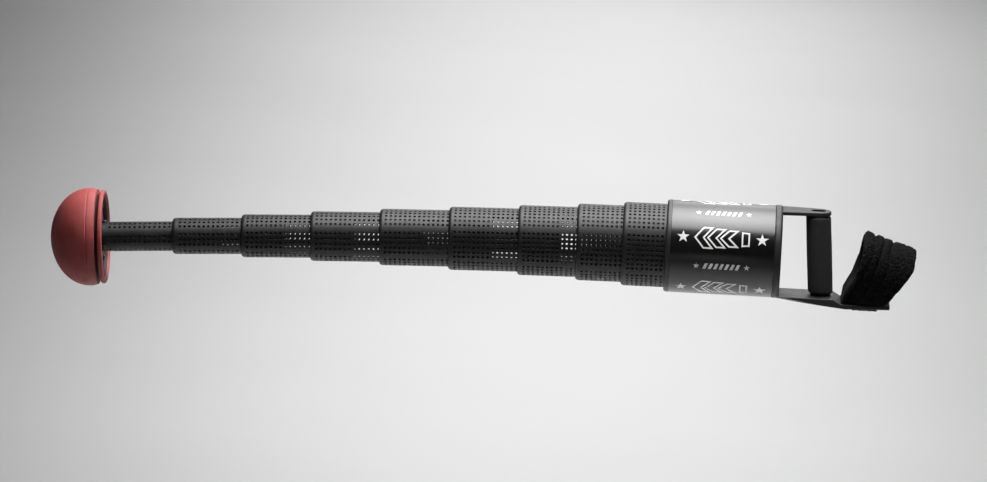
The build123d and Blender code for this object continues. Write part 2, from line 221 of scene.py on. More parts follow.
class Surface:
    """A Principled material with its node tree at hand."""

    def __init__(self, name, **sockets):
        self.material = bpy.data.materials.new(name)
        self.material.use_nodes = True
        self.tree = self.material.node_tree
        self.shader = self.tree.nodes["Principled BSDF"]
        for socket, value in sockets.items():
            self.shader.inputs[socket.replace("_", " ")].default_value = value
        self.coords = self.tree.nodes.new("ShaderNodeTexCoord").outputs["Object"]
        self.height = None

    def link(self, a, b):
        self.tree.links.new(a, b)

    def noise(self, scale, detail=2.0, roughness=0.5, stretch=None):
        node = self.tree.nodes.new("ShaderNodeTexNoise")
        node.inputs["Scale"].default_value = scale
        node.inputs["Detail"].default_value = detail
        node.inputs["Roughness"].default_value = roughness
        self.link(self.stretched(stretch), node.inputs["Vector"])
        return node.outputs["Fac"]

    def cells(self, scale):
        node = self.tree.nodes.new("ShaderNodeTexVoronoi")
        node.inputs["Scale"].default_value = scale
        self.link(self.coords, node.inputs["Vector"])
        return node.outputs["Distance"]

    def stretched(self, stretch):
        if stretch is None:
            return self.coords
        node = self.tree.nodes.new("ShaderNodeMapping")
        node.inputs["Scale"].default_value = stretch
        self.link(self.coords, node.inputs["Vector"])
        return node.outputs["Vector"]

    def ramp(self, factor, stops):
        """Colour ramp from (position, grey or colour) stops."""
        node = self.tree.nodes.new("ShaderNodeValToRGB")
        ramp = node.color_ramp
        while len(ramp.elements) < len(stops):
            ramp.elements.new(0.5)
        for element, (position, colour) in zip(ramp.elements, stops):
            element.position = position
            grey = (colour,) * 3 if isinstance(colour, (int, float)) else colour
            element.color = (*grey, 1.0)
        self.link(factor, node.inputs["Fac"])
        return node.outputs["Color"]

    def colour(self, factor, stops):
        """Base colour from (position, grey or colour) stops."""
        self.link(self.ramp(factor, stops), self.shader.inputs["Base Color"])

    def drift(self, factor, dark, light):
        """Base colour that drifts between two tones."""
        self.colour(factor, [(NOISE_LOW, dark), (NOISE_HIGH, light)])

    def rough(self, factor, low, high):
        """Roughness that drifts between two values."""
        drift = self.ramp(factor, [(NOISE_LOW, low), (NOISE_HIGH, high)])
        self.link(drift, self.shader.inputs["Roughness"])

    def bump(self, height, strength, distance):
        """One more layer of bump over those already there."""
        node = self.tree.nodes.new("ShaderNodeBump")
        node.inputs["Strength"].default_value = strength
        node.inputs["Distance"].default_value = distance
        self.link(height, node.inputs["Height"])
        if self.height is not None:
            self.link(self.height, node.inputs["Normal"])
        self.height = node.outputs["Normal"]
        self.link(self.height, self.shader.inputs["Normal"])


def moulded_plastic(name, dark, light, gloss, grain=2600.0, grain_depth=0.00003, specular=0.3):
    """Moulded black plastic: faint colour drift, fine spark-eroded grain, handled patches."""
    surface = Surface(name, Specular_IOR_Level=specular)
    surface.drift(surface.noise(38, 4), dark, light)
    surface.rough(surface.noise(90, 5, 0.6), gloss - 0.05, gloss + 0.07)
    surface.bump(surface.noise(grain, 2), 0.35, grain_depth)
    surface.bump(surface.noise(160, 2), 0.12, 0.0001)
    return surface.material


def label_film():
    """Glossy black film, slightly wavy."""
    surface = Surface("label_film", Roughness=0.2)
    surface.drift(surface.noise(24, 3), 0.0025, 0.005)
    surface.rough(surface.noise(130, 5, 0.65), 0.17, 0.26)
    surface.bump(surface.noise(55, 2), 0.10, 0.0002)
    surface.bump(surface.noise(1500, 1), 0.08, 0.00002)
    return surface.material


def print_ink():
    """White ink."""
    surface = Surface("white_print", Roughness=0.3)
    surface.drift(surface.noise(400, 3), 0.50, 0.60)
    surface.rough(surface.noise(500, 3), 0.24, 0.36)
    surface.bump(surface.noise(1800, 2), 0.1, 0.00002)
    return surface.material


def terry():
    """Black looped terry cloth."""
    surface = Surface("terry_cloth", Roughness=0.95, Specular_IOR_Level=0.06, Sheen_Weight=0.012,
                      Sheen_Roughness=0.6)
    surface.shader.inputs["Sheen Tint"].default_value = (0.35, 0.35, 0.38, 1)
    surface.colour(surface.noise(520, 3, 0.6),
                   [(0.42, (0.0012, 0.0012, 0.0013)), (0.7, (0.011, 0.011, 0.012))])
    surface.bump(surface.cells(620), 1.0, 0.0014)
    surface.bump(surface.noise(2000, 3, 0.7), 0.6, 0.0005)
    return surface.material


def hook_tape():
    """Black tape of small plastic hooks."""
    surface = Surface("hook_tape", Roughness=0.8)
    surface.colour(surface.cells(1300), [(0.1, 0.006), (0.6, 0.02)])
    surface.bump(surface.cells(1300), 0.8, 0.0004)
    return surface.material


def grip_foam_surface():
    """Closed-cell foam: small pores and a matt bloom."""
    surface = Surface("grip_foam", Roughness=0.88)
    surface.drift(surface.noise(260, 4), 0.003, 0.007)
    surface.bump(surface.cells(1600), 0.55, 0.0003)
    surface.bump(surface.noise(3200, 2), 0.35, 0.0001)
    return surface.material


def head_rubber():
    """Coral red moulded foam-rubber skin with a fine matt texture and faint scuffs."""
    surface = Surface("head_rubber", Roughness=0.6, Specular_IOR_Level=0.18)
    deep, mid, pale = (0.168, 0.031, 0.029), (0.198, 0.038, 0.036), (0.224, 0.050, 0.046)
    surface.colour(surface.noise(34, 6, 0.62), [(0.32, deep), (0.52, mid), (0.74, pale)])
    surface.rough(surface.noise(60, 6, 0.6), 0.5, 0.68)
    surface.bump(surface.noise(1100, 3, 0.6), 0.3, 0.00012)
    surface.bump(surface.noise(48, 3), 0.1, 0.0006)
    return surface.material


def raw_foam():
    """Pale uncoated foam inside the head."""
    surface = Surface("raw_foam", Roughness=0.95)
    surface.colour(surface.cells(500), [(0.1, (0.42, 0.39, 0.3)), (0.7, (0.62, 0.58, 0.48))])
    surface.bump(surface.cells(700), 0.8, 0.0006)
    return surface.material


def screw_steel(name, dark, light):
    """Steel with fine marks drawn out across the Z axis."""
    surface = Surface(name, Metallic=1.0, Roughness=0.35)
    surface.drift(surface.noise(700, 4), dark, light)
    surface.rough(surface.noise(2200, 3, stretch=(1, 1, 8)), 0.26, 0.44)
    surface.bump(surface.noise(3000, 2, stretch=(1, 1, 6)), 0.15, 0.00003)
    return surface.material


TUBE_PLASTIC = moulded_plastic("tube_plastic", 0.004, 0.007, 0.42, specular=0.28)
HOUSING_PLASTIC = moulded_plastic("housing_plastic", 0.011, 0.016, 0.40)
FRAME_PLASTIC = moulded_plastic("frame_plastic", 0.008, 0.012, 0.50, grain=1900.0)
HUB_PLASTIC = moulded_plastic("hub_plastic", 0.02, 0.03, 0.5)
PLATE_PLASTIC = moulded_plastic("plate_plastic", 0.030, 0.042, 0.55, grain=1500.0, grain_depth=0.00006)
LABEL = label_film()
INK = print_ink()
TERRY = terry()
HOOK_TAPE = hook_tape()
GRIP_FOAM = grip_foam_surface()
HEAD_RUBBER = head_rubber()
RAW_FOAM = raw_foam()
STEEL = screw_steel("screw_steel", 0.32, 0.44)
BLACK_STEEL = screw_steel("black_oxide_steel", 0.03, 0.07)
# dark red-brown of the head's rubber in shade: painted shade, laid as thin sheets in the groove and inside
# the rim
PAINTED_SHADE_FILM = moulded_plastic("painted_shade_film", (0.012, 0.006, 0.005), (0.019, 0.009, 0.008), 0.6, specular=0.12)


# ---- perforated tubes ----------------------------------------------------------------------
def angular_stations(number, radius):
    """Angles round a tube, each hole cell's first station, and which stations are on a rib."""
    pitch = math.radians(ROW_PITCH[number])
    half_cell = HOLE_CELL / 2 / radius
    rib = RIB_WIDTH / 2 / radius
    slope = RIB_SLOPE / radius
    group = 2 * math.pi / HOLE_GROUPS
    rows = HOLE_ROWS[number]
    fixed, cell_starts = [], []
    for g in range(HOLE_GROUPS):
        for row in range(rows):
            centre = g * group + (row - (rows - 1) / 2) * pitch
            cell_starts.append(centre - half_cell)
            fixed += [centre - half_cell + half_cell * 2 * k / CELL_STEPS for k in range(CELL_STEPS + 1)]
        band = (g + 0.5) * group
        fixed += [band - rib - slope, band - rib, band + rib, band + rib + slope]
    fixed = sorted(fixed)
    angles = []
    for a, b in zip(fixed, fixed[1:] + [fixed[0] + 2 * math.pi]):
        pieces = max(1, math.ceil((b - a) / math.radians(WIDEST_FACET)))
        angles += [a + (b - a) * k / pieces for k in range(pieces)]
    angles = np.array(angles)
    starts = [int(np.abs(angles - a).argmin()) for a in cell_starts]
    off_band = np.abs(angles / group % 1.0 - 0.5) * group
    on_rib = off_band < rib + slope / 2
    return angles, starts, on_rib


def axial_stations(number, length):
    """Positions along a tube's wall, each column's first station, and where the ribs start."""
    pitch = TIP_HOLE_PITCH if number == TIP else HOLE_PITCH
    first = {TIP: TIP_FIRST_HOLE, TIP + 1: SECOND_FIRST_HOLE}.get(number, FIRST_HOLE)
    count = int((length - LAST_HOLE_MARGIN - first) / pitch) + 1
    stations, starts = [], []
    for column in range(count):
        low = first + column * pitch - HOLE_CELL / 2
        starts.append(len(stations))
        stations += [low + HOLE_CELL * k / CELL_STEPS for k in range(CELL_STEPS + 1)]
    gap = pitch - HOLE_CELL
    rib_column = next(c for c in range(count) if first + c * pitch > length - RIB_LENGTH)
    rib_start = first + rib_column * pitch - HOLE_CELL / 2 - gap / 2
    position = starts[rib_column]
    stations[position:position] = [rib_start, rib_start + RIB_SLOPE]
    starts = [s + 2 if s >= position else s for s in starts]
    return stations, starts, rib_start + RIB_SLOPE / 2


def cell_border():
    """Grid points round a hole's cell as (column step, row step), in turn from its first corner."""
    border = [(k, 0) for k in range(CELL_STEPS)] + [(CELL_STEPS, k) for k in range(CELL_STEPS)]
    border += [(CELL_STEPS - k, CELL_STEPS) for k in range(CELL_STEPS)]
    return border + [(0, CELL_STEPS - k) for k in range(CELL_STEPS)]


def perforated_tube(number):
    """One tube: wall with real through holes, rounded front lip, ribs outside its rear end."""
    matrix, radius, length = PLACES[number]
    bore = radius - TUBE_WALL
    angles, cell_angles, on_rib = angular_stations(number, radius)
    stations, columns, rib_start = axial_stations(number, length)
    steps = len(angles)

    vertices, faces = [], []

    def add_ring(x, r):
        radii = np.where(on_rib & (x > rib_start) & (r > bore + TINY), r + RIB_HEIGHT, r)
        start = len(vertices)
        vertices.extend(ring_points(x, radii, angles))
        return start

    if number == TIP:
        front = [(WALL_EDGE, bore), (0.0, bore + WALL_EDGE), (0.0, radius - WALL_EDGE), (WALL_EDGE, radius)]
    else:
        lip = PLACES[number - 1][1] + PLAY
        front = rounded([(LIP_LENGTH, bore), (LIP_LENGTH, lip), (0, lip, LIP_EDGE), (0, radius)])[:-1]
        long, deep = LIP_OVAL
        for k in range(LIP_STEPS + 1):
            a = math.pi / 2 * k / LIP_STEPS
            front.append((long * (1 - math.cos(a)), radius - deep + deep * math.sin(a)))
        front.append((long + WALL_EDGE, radius))
    rings = [add_ring(x, r) for x, r in front]
    outer = [add_ring(x, radius) for x in stations]
    end = [add_ring(length, radius), add_ring(length, bore)]
    inner = [add_ring(x, bore) for x in stations]
    loop = rings + outer + end + inner[::-1]

    skipped = set()
    for c in columns:
        for a in cell_angles:
            for j in range(CELL_STEPS):
                for i in range(CELL_STEPS):
                    skipped.add((c + j, (a + i) % steps))

    first_outer = len(rings)
    first_inner = first_outer + len(outer) + 2
    for k, (r0, r1) in enumerate(zip(loop, loop[1:] + loop[:1])):
        if first_outer <= k < first_outer + len(outer) - 1:
            row = k - first_outer
        elif first_inner <= k < first_inner + len(inner) - 1:
            row = len(inner) - 2 - (k - first_inner)
        else:
            row = None
        for i in range(steps):
            if row is not None and (row, i) in skipped:
                continue
            j = (i + 1) % steps
            faces.append((r0 + i, r1 + i, r1 + j, r0 + j))

    border = cell_border()
    # the circles' first point lies towards the border's first corner
    turn = [math.radians(225 + 360 / HOLE_SIDES * k) for k in range(HOLE_SIDES)]
    depths = [(HOLE_RADIUS + HOLE_BEVEL, radius), (HOLE_RADIUS, radius - HOLE_BEVEL), (HOLE_RADIUS, bore)]
    for c in columns:
        x0 = stations[c] + HOLE_CELL / 2
        for a in cell_angles:
            a0 = angles[a] + HOLE_CELL / 2 / radius
            circles = [[outer[c + j] + (a + i) % steps for j, i in border]]
            for size, r in depths:
                circle = []
                for t in turn:
                    angle = a0 + size * math.sin(t) / radius
                    circle.append(len(vertices))
                    vertices.append((x0 + size * math.cos(t), -r * math.cos(angle), r * math.sin(angle)))
                circles.append(circle)
            circles.append([inner[c + j] + (a + i) % steps for j, i in border])
            for near, far in zip(circles, circles[1:]):
                for k in range(HOLE_SIDES):
                    n = (k + 1) % HOLE_SIDES
                    faces.append((near[k], near[n], far[n], far[k]))

    points = np.array(vertices)
    if number != TIP:
        behind = np.clip(points[:, 1] / (LEAD_BLEND * radius) + 0.5, 0, 1)
        drilled = (points[:, 0] > stations[0] - TINY) & (points[:, 0] < stations[-1] + TINY)
        points[:, 0] -= np.where(drilled, FAR_SIDE_LEAD * behind, 0)

    used = np.unique(np.array([v for face in faces for v in face]))
    renumber = np.full(len(vertices), -1)
    renumber[used] = np.arange(len(used))
    faces = [tuple(int(renumber[v]) for v in face) for face in faces]
    return make_object(f"stage_tube_{number}", placed(points[used], matrix), faces)


def make_tubes():
    for number in TUBE_NUMBERS:
        finish_piece(perforated_tube(number), f"stage_{number}", TUBE_PLASTIC, [f"tube_{number}"])


# ---- housing and its printed label ---------------------------------------------------------
HOUSING_LOW, HOUSING_HIGH = (np.array(c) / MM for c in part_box("housing_shell"))
LABEL_LOW, LABEL_HIGH = (np.array(c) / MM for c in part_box("label_sleeve"))
HOUSING_FRONT = HOUSING_LOW[0]
HOUSING_RADIUS = 60.0         # the label's too: it lies flush
HOUSING_NECK = 58.4           # radius inside the frame's ring
HOUSING_LIP_EDGE = 0.5
SHOULDER_EDGE = 0.25
LABEL_THICKNESS = 0.35
LABEL_EDGE = 0.12
LABEL_GAP = 0.05              # under the label
LABEL_END_GAP = 0.1
PRINT_THICKNESS = 0.06
PRINT_GAP = 0.01
PRINT_STRIP = 2.0             # width of the strips in which a print bends round the label
STAR_WAIST = 0.39             # a star's inner corners, as a part of its reach


def make_housing():
    """Housing tube with its lip, a recess for the label and a neck for the frame's ring; then the label."""
    bore = PLACES[REAR][1] + TUBE_STEP - TUBE_WALL
    lip = PLACES[REAR][1] + PLAY
    under = HOUSING_RADIUS - LABEL_THICKNESS - LABEL_GAP
    step = LABEL_LOW[0] - LABEL_END_GAP
    shoulder = LABEL_HIGH[0] + LABEL_END_GAP
    outline = rounded([
        (HOUSING_FRONT, lip, HOUSING_LIP_EDGE), (HOUSING_FRONT, HOUSING_RADIUS, LIP_ROUND),
        (step, HOUSING_RADIUS, SHOULDER_EDGE), (step, under), (shoulder, under),
        (shoulder, HOUSING_NECK), (HOUSING_HIGH[0], HOUSING_NECK), (HOUSING_HIGH[0], bore),
        (HOUSING_FRONT + LIP_LENGTH, bore), (HOUSING_FRONT + LIP_LENGTH, lip),
    ])
    finish_piece(lathe("housing_body", outline, STILL), ROOT, HOUSING_PLASTIC, ["housing_shell"])

    inner = HOUSING_RADIUS - LABEL_THICKNESS
    outline = rounded([
        (LABEL_LOW[0], inner), (LABEL_LOW[0], HOUSING_RADIUS, LABEL_EDGE),
        (LABEL_HIGH[0], HOUSING_RADIUS, LABEL_EDGE), (LABEL_HIGH[0], inner),
    ], steps=3)
    finish_piece(lathe("label_wrap", outline, STILL), ROOT, LABEL, ["label_sleeve"])


def star(x, size):
    """Five-pointed star, flat on the label: x along the housing, y round it."""
    points = []
    for k in range(10):
        reach = size / 2 * (1.0 if k % 2 == 0 else STAR_WAIST)
        a = math.radians(90 + 36 * k)
        points.append((x + reach * math.cos(a), reach * math.sin(a)))
    return points


def chevron(tip, depth, wing, height):
    """Arrowhead that points to the head end."""
    return [(tip, 0.0), (tip + depth, height / 2), (tip + depth + wing, height / 2),
            (tip + wing, 0.0), (tip + depth + wing, -height / 2), (tip + depth, -height / 2)]


def inset(points, amount):
    """The same closed outline moved inwards, corner by corner."""
    count = len(points)
    area = sum(points[i - 1][0] * points[i][1] - points[i][0] * points[i - 1][1] for i in range(count))
    side = 1 if area > 0 else -1
    moved = []
    for i in range(count):
        here = Vector(points[i])
        before = (here - Vector(points[i - 1])).normalized()
        after = (Vector(points[(i + 1) % count]) - here).normalized()
        n0 = Vector((-before.y, before.x)) * side
        n1 = Vector((-after.y, after.x)) * side
        bisector = n0 + n1
        moved.append(tuple(here + bisector * (amount / (1 + n0.dot(n1)))))
    return moved


def dash(x, width, height, slant=1.6):
    """Slanted bar, half of its lean on each side of x."""
    return [(x - width / 2 - slant, -height / 2), (x + width / 2 - slant, -height / 2),
            (x + width / 2 + slant, height / 2), (x - width / 2 + slant, height / 2)]


def on_label(name, shapes, angle):
    """Thin raised print: flat shapes, each an outline with an optional inner one, laid on the label."""
    work = bmesh.new()
    for outline, hole in shapes:
        if hole is None:
            work.faces.new([work.verts.new((x, y, 0)) for x, y in outline])
            continue
        outside = [work.verts.new((x, y, 0)) for x, y in outline]
        inside = [work.verts.new((x, y, 0)) for x, y in hole]
        for i in range(len(outline)):
            j = (i + 1) % len(outline)
            work.faces.new([outside[i], outside[j], inside[j], inside[i]])
    bmesh.ops.triangulate(work, faces=work.faces)
    ys = [v.co.y for v in work.verts]
    cut = math.floor(min(ys) / PRINT_STRIP) * PRINT_STRIP
    while cut < max(ys):
        geometry = work.verts[:] + work.edges[:] + work.faces[:]
        bmesh.ops.bisect_plane(work, geom=geometry, plane_co=(0, cut, 0), plane_no=(0, 1, 0))
        cut += PRINT_STRIP
    top = bmesh.ops.extrude_face_region(work, geom=work.faces[:])["geom"]
    for element in top:
        if isinstance(element, bmesh.types.BMVert):
            element.co.z += PRINT_THICKNESS
    centre_x = (LABEL_LOW[0] + LABEL_HIGH[0]) / 2
    for v in work.verts:
        r = HOUSING_RADIUS + PRINT_GAP + v.co.z
        a = math.radians(angle) + v.co.y / HOUSING_RADIUS
        v.co = Vector((centre_x + v.co.x, -r * math.cos(a), r * math.sin(a)))
    vertices = [v.co[:] for v in work.verts]
    work.verts.index_update()
    faces = [tuple(v.index for v in f.verts) for f in work.faces]
    work.free()
    finish_piece(make_object(name, vertices, faces, math.radians(50)), ROOT, INK)


# places are along the label from its middle
PRINT_REPEATS = 5
MAIN_ROW_ANGLE = 24.3
SECOND_ROW_ANGLE = 60.3
STROKE = 2.0
ARROWS = ((-37, 29), (-20.5, 26), (-4, 23))    # each arrow's tip and height
ARROW_DEPTH, ARROW_WING = 12, 13.5
END_BAR = ((24.5, -10), (35, -9), (35, 9), (24.5, 10))
STARS, STAR_SIZE = (-51, 51), 17
DASHES, DASH_WIDTH, DASH_HEIGHT = range(-21, 22, 7), 3.8, 7.6
SMALL_STARS, SMALL_STAR_SIZE = (-32.5, 32.5), 8.4


def make_print():
    """Generic arrows and stars, printed in rows that repeat round the label."""
    outlines = [chevron(tip, ARROW_DEPTH, ARROW_WING, height) for tip, height in ARROWS] + [END_BAR]
    arrows = [(outline, inset(outline, STROKE)) for outline in outlines]
    stars = [(star(x, STAR_SIZE), None) for x in STARS]
    dashes = [(dash(x, DASH_WIDTH, DASH_HEIGHT), None) for x in DASHES]
    small_stars = [(star(x, SMALL_STAR_SIZE), None) for x in SMALL_STARS]
    for k in range(PRINT_REPEATS):
        turn = 360 / PRINT_REPEATS * k
        on_label(f"print_arrows_{k + 1}", arrows + stars, MAIN_ROW_ANGLE + turn)
        on_label(f"print_dashes_{k + 1}", dashes + small_stars, SECOND_ROW_ANGLE + turn)


# ---- head ----------------------------------------------------------------------------------
DOME_WIDEST = -9.6
DOME_LENGTH = 51.0
DOME_RADIUS = 63.7
DOME_BACK = 1.2
DOME_BACK_RADIUS = 62.1
DOME_BACK_EDGE = 0.45         # rounding
DOME_SKIN = 6.0
DOME_FIT = 0.1                # play between the dome's hollow and the rim's neck
RIM_RADIUS = 60.9
RIM_FRONT, RIM_REAR = 5.2, 11.1
GROOVE_RADIUS = 55.5
HUB_REAR = -7.0
SEAM_DEPTH = 0.35
SEAM_WIDTH = 0.9
WAIST_CURVE = 1.8             # how late the dome's side narrows towards its back edge
DOME_STEPS = 48
HOLLOW_STEPS = 32
SEAM_STEPS = 8
HEAD_TURNS = 320              # facets round the head's pieces
RIM_LIP = 4.4                 # the rim's thickness at its open end
RIM_SEAT = 52.0               # radius of the seat that the back plate lies in
SHADE_FILM_THICKNESS = 0.3                  # thickness of the dark sheets of painted shade in the groove and inside the rim
SHADE_FILM_REAR = 8.2             # where the painted shade inside the rim ends
SHADE_FILM_GAP = 0.05
RIM_BORE = 44.0


def dome_outline():
    """Tip, oval front, shallow moulding seam at the widest circle, waist, back edge, hollow."""
    points = []
    for k in range(DOME_STEPS):
        a = math.pi - math.pi / 2 * k / DOME_STEPS
        points.append((DOME_WIDEST + DOME_LENGTH * math.cos(a), DOME_RADIUS * math.sin(a)))
    points.append((DOME_WIDEST - SEAM_WIDTH, DOME_RADIUS - 0.02))
    for k in range(1, SEAM_STEPS):
        t = k / SEAM_STEPS
        points.append((DOME_WIDEST - SEAM_WIDTH + 2 * SEAM_WIDTH * t,
                       DOME_RADIUS - SEAM_DEPTH * math.sin(math.pi * t) ** 2))
    for k in range(SEAM_STEPS + 1):
        t = k / SEAM_STEPS
        x = DOME_WIDEST + SEAM_WIDTH + (DOME_BACK - 1.0 - DOME_WIDEST - SEAM_WIDTH) * t
        points.append((x, DOME_RADIUS - (DOME_RADIUS - DOME_BACK_RADIUS) * t ** WAIST_CURVE))
    neck = GROOVE_RADIUS + DOME_FIT
    edge = rounded([(DOME_BACK - 1.6, DOME_BACK_RADIUS), (DOME_BACK, DOME_BACK_RADIUS - 0.1, DOME_BACK_EDGE),
                    (DOME_BACK, neck)], steps=6)
    points += [tuple(p) for p in edge[1:]] + [(HUB_REAR, neck)]
    for k in range(HOLLOW_STEPS + 1):
        a = math.pi / 2 + math.pi / 2 * k / HOLLOW_STEPS
        points.append((DOME_WIDEST + (DOME_LENGTH - DOME_SKIN) * math.cos(a),
                       (DOME_RADIUS - DOME_SKIN) * math.sin(a)))
    return points


def rim_outline():
    """Neck inside the dome, groove behind it, rolled rim, and the inside that flares from the seat."""
    # the groove and the seat are set back to make room for the sheets of painted shade
    groove = GROOVE_RADIUS - SHADE_FILM_THICKNESS - SHADE_FILM_GAP
    seat = RIM_SEAT + SHADE_FILM_THICKNESS + SHADE_FILM_GAP
    return rounded([
        (HUB_REAR, RIM_BORE), (HUB_REAR, groove), (RIM_FRONT, groove, 0.3),
        (RIM_FRONT, RIM_RADIUS, 1.8), (RIM_REAR, RIM_RADIUS, 2.4), (RIM_REAR, RIM_RADIUS - RIM_LIP, 0.8),
        (RIM_FRONT - 1, seat), (0, seat), (0, RIM_BORE),
    ])


def painted_shade_outlines():
    """Thin dark sheets of painted shade: one round the bottom of the groove, one over the inside of the rim.
    """
    low, high = HUB_REAR + 0.2, RIM_FRONT - SHADE_FILM_GAP
    under = GROOVE_RADIUS - SHADE_FILM_THICKNESS
    groove = [(low, under), (low, GROOVE_RADIUS), (high, GROOVE_RADIUS), (high, under)]
    start = RIM_FRONT - 1
    slope = (RIM_RADIUS - RIM_LIP - RIM_SEAT - SHADE_FILM_THICKNESS) / (RIM_REAR - start)
    inner = [(start - 1, RIM_SEAT), (start, RIM_SEAT)]
    inner.append((SHADE_FILM_REAR, RIM_SEAT + slope * (SHADE_FILM_REAR - start)))
    outer = [(x, r + SHADE_FILM_THICKNESS) for x, r in inner[::-1]]
    return {"head_groove_painted_shade": groove, "head_rim_painted_shade": inner + outer}


def make_head():
    """Dome, rim and the sheets of painted shade, all on the tip tube."""
    body = "stage_1"
    dome = lathe("head_ball", dome_outline(), HEAD_PLACE, HEAD_TURNS)
    finish_piece(dome, body, HEAD_RUBBER, ["head_dome"])
    rim = lathe("head_rim", rim_outline(), HEAD_PLACE, HEAD_TURNS)
    finish_piece(rim, body, HEAD_RUBBER, ["head_rim_ring"])
    # dark sheets of painted shade in the groove and inside the rim
    for name, outline in painted_shade_outlines().items():
        finish_piece(lathe(name, outline, HEAD_PLACE, HEAD_TURNS), body, PAINTED_SHADE_FILM)


# ---- grip ----------------------------------------------------------------------------------
GRIP_TILT = 4.5
GRIP_RADIUS = 16.5
GRIP_SLACK = 0.35             # how far the sleeve's ends stay inside that radius
GRIP_BULGE = 0.3
GRIP_ROLL = 4.0               # rounding of the sleeve's ends
GRIP_RIPPLE = 0.10
GRIP_END_GAP = 0.2
GRIP_ROWS, GRIP_COLUMNS = 120, 128
CORE_HALF_LENGTH, CORE_HALF_WIDTH = 13.1, 9.1
GRIP_LOW, GRIP_HIGH = (np.array(c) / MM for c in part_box("grip_foam"))


def make_grip():
    """Foam sleeve, leaning, slightly fuller in its middle, with soft rolled ends."""
    lean = math.tan(math.radians(GRIP_TILT))
    low, high = GRIP_LOW[2] + GRIP_END_GAP, GRIP_HIGH[2] - GRIP_END_GAP
    angles = [2 * math.pi * i / GRIP_COLUMNS for i in range(GRIP_COLUMNS)]
    vertices, faces = [], []
    for k in range(GRIP_ROWS + 1):
        t = k / GRIP_ROWS
        z = low + (high - low) * t
        end = min(z - low, high - z)
        shrink = GRIP_ROLL - math.sqrt(max(0.0, GRIP_ROLL ** 2 - max(0.0, GRIP_ROLL - end) ** 2))
        radius = GRIP_RADIUS - GRIP_SLACK + GRIP_BULGE * math.sin(math.pi * t) - shrink
        for a in angles:
            r = radius + GRIP_RIPPLE * noise.noise(Vector((math.cos(a) * 2, math.sin(a) * 2, z * 0.05)))
            vertices.append((-lean * z + r * math.cos(a), r * math.sin(a), z))
    for z in (high, low):
        for a in angles:
            vertices.append((-lean * z + CORE_HALF_LENGTH * math.cos(a), CORE_HALF_WIDTH * math.sin(a), z))
    loops = [k * GRIP_COLUMNS for k in range(GRIP_ROWS + 3)]
    for near, far in zip(loops, loops[1:] + loops[:1]):
        for i in range(GRIP_COLUMNS):
            j = (i + 1) % GRIP_COLUMNS
            faces.append((near + i, near + j, far + j, far + i))
    grip = make_object("grip_sleeve", vertices, faces, math.radians(50))
    finish_piece(grip, ROOT, GRIP_FOAM, ["grip_foam"])


# ---- wrist strap ---------------------------------------------------------------------------
STRAP_CENTRE = Vector((80.0, 0.0, -16.0))
STRAP_TILT = math.radians(18)
STRAP_PLACE = Matrix.Translation(STRAP_CENTRE) @ Matrix.Rotation(STRAP_TILT, 4, "Y")
STRAP_BORE = (33.0, 26.0)     # half width, half height
STRAP_OVAL = (43.2, 39.7)
SKIRT_TOP = (41.0, -14.0)     # half width and height where the cloth leaves the oval for the arm
SKIRT_FOOT = (24.0, -62.0)
# the cloth's front and rear edges, as (height, place along the forearm)
STRAP_FRONT = ((-57, -33), (-47, -34.5), (-20, -30.5), (4, -30), (44, -36))
STRAP_REAR = ((-57, 8), (-36, 22.5), (-30, 25), (-14, 29.5), (0, 33), (20, 38.5), (44, 36))
STRAP_FLOOR = -58.9           # just over the floor of the lower arm's cradle; the cloth is flat from here
STRAP_STEPS = 380
STRAP_ACROSS, STRAP_INSIDE = 92, 30    # facets over the cloth's width, outside and inside
STRAP_ROLL = 4.5              # rounding of the cloth's edges
OUTER_NAP, INNER_NAP, BAND_NAP = 1.5, 0.6, 0.5
NAP_SINK = 0.4                # how far the outside is drawn in to make room for its nap
INNER_STAND = 0.9             # how far outside the bore the inside runs
HEM = 2.0                     # how far the inside's edges stay back from the outside's
FLOOR_SQUASH = 0.01           # what is left of the cloth's depth below that floor
# where one wrap of the strap ends and the next begins, from the hand side, as parts of the width
WRAP_EDGES = (0.0, 0.18, 0.37, 0.56, 1.0)
WRAP_HEIGHTS = (1.1, 0.7, 0.5, 1.2)
WRAP_GROOVES = (2.6, 3.8, 3.0)
EDGE_WANDER = (0.035, 0.018)  # slow and quick wander of the wraps' edges, as parts of the width
WRAP_FULLNESS = 2.4           # higher is flatter
GROOVE_WIDTH = 0.028          # as a part of the width
GROOVE_SWING = 0.35           # how much of a groove's depth comes and goes round the strap


def strap_reach(y, z):
    """Distance from the strap's axis to its plain outside, along the unit direction (y, z)."""
    oval = 1 / math.hypot(y / STRAP_OVAL[0], z / STRAP_OVAL[1])
    if z >= 0:
        return oval
    slope = (SKIRT_TOP[0] - SKIRT_FOOT[0]) / (SKIRT_TOP[1] - SKIRT_FOOT[1])
    side = (SKIRT_TOP[0] - slope * SKIRT_TOP[1]) / (abs(y) - slope * z)
    skirt = min(side, SKIRT_FOOT[1] / z)
    if skirt * z > SKIRT_TOP[1]:
        return oval
    return max(oval, skirt)


def wrap_profile(t, turn):
    """How far the cloth stands in or out of the plain strap at part t of its width."""
    edges = [WRAP_EDGES[0]]
    slow, quick = EDGE_WANDER
    for k, edge in enumerate(WRAP_EDGES[1:-1]):
        edges.append(edge + slow * math.sin(turn + 0.7 + k) + quick * math.sin(3 * turn + 2.1 * k))
    edges.append(WRAP_EDGES[-1])
    stand = 0.0
    for k in range(len(edges) - 1):
        if t <= edges[k + 1] or k == len(edges) - 2:
            part = min(max((t - edges[k]) / (edges[k + 1] - edges[k]), 0.0), 1.0)
            stand = WRAP_HEIGHTS[k] * (1 - abs(2 * part - 1) ** WRAP_FULLNESS)
            break
    for k, depth in enumerate(WRAP_GROOVES):
        depth *= 1 - GROOVE_SWING + GROOVE_SWING * math.sin(2 * turn + 1.9 * k)
        stand -= depth * math.exp(-((t - edges[k + 1]) / GROOVE_WIDTH) ** 2)
    return stand


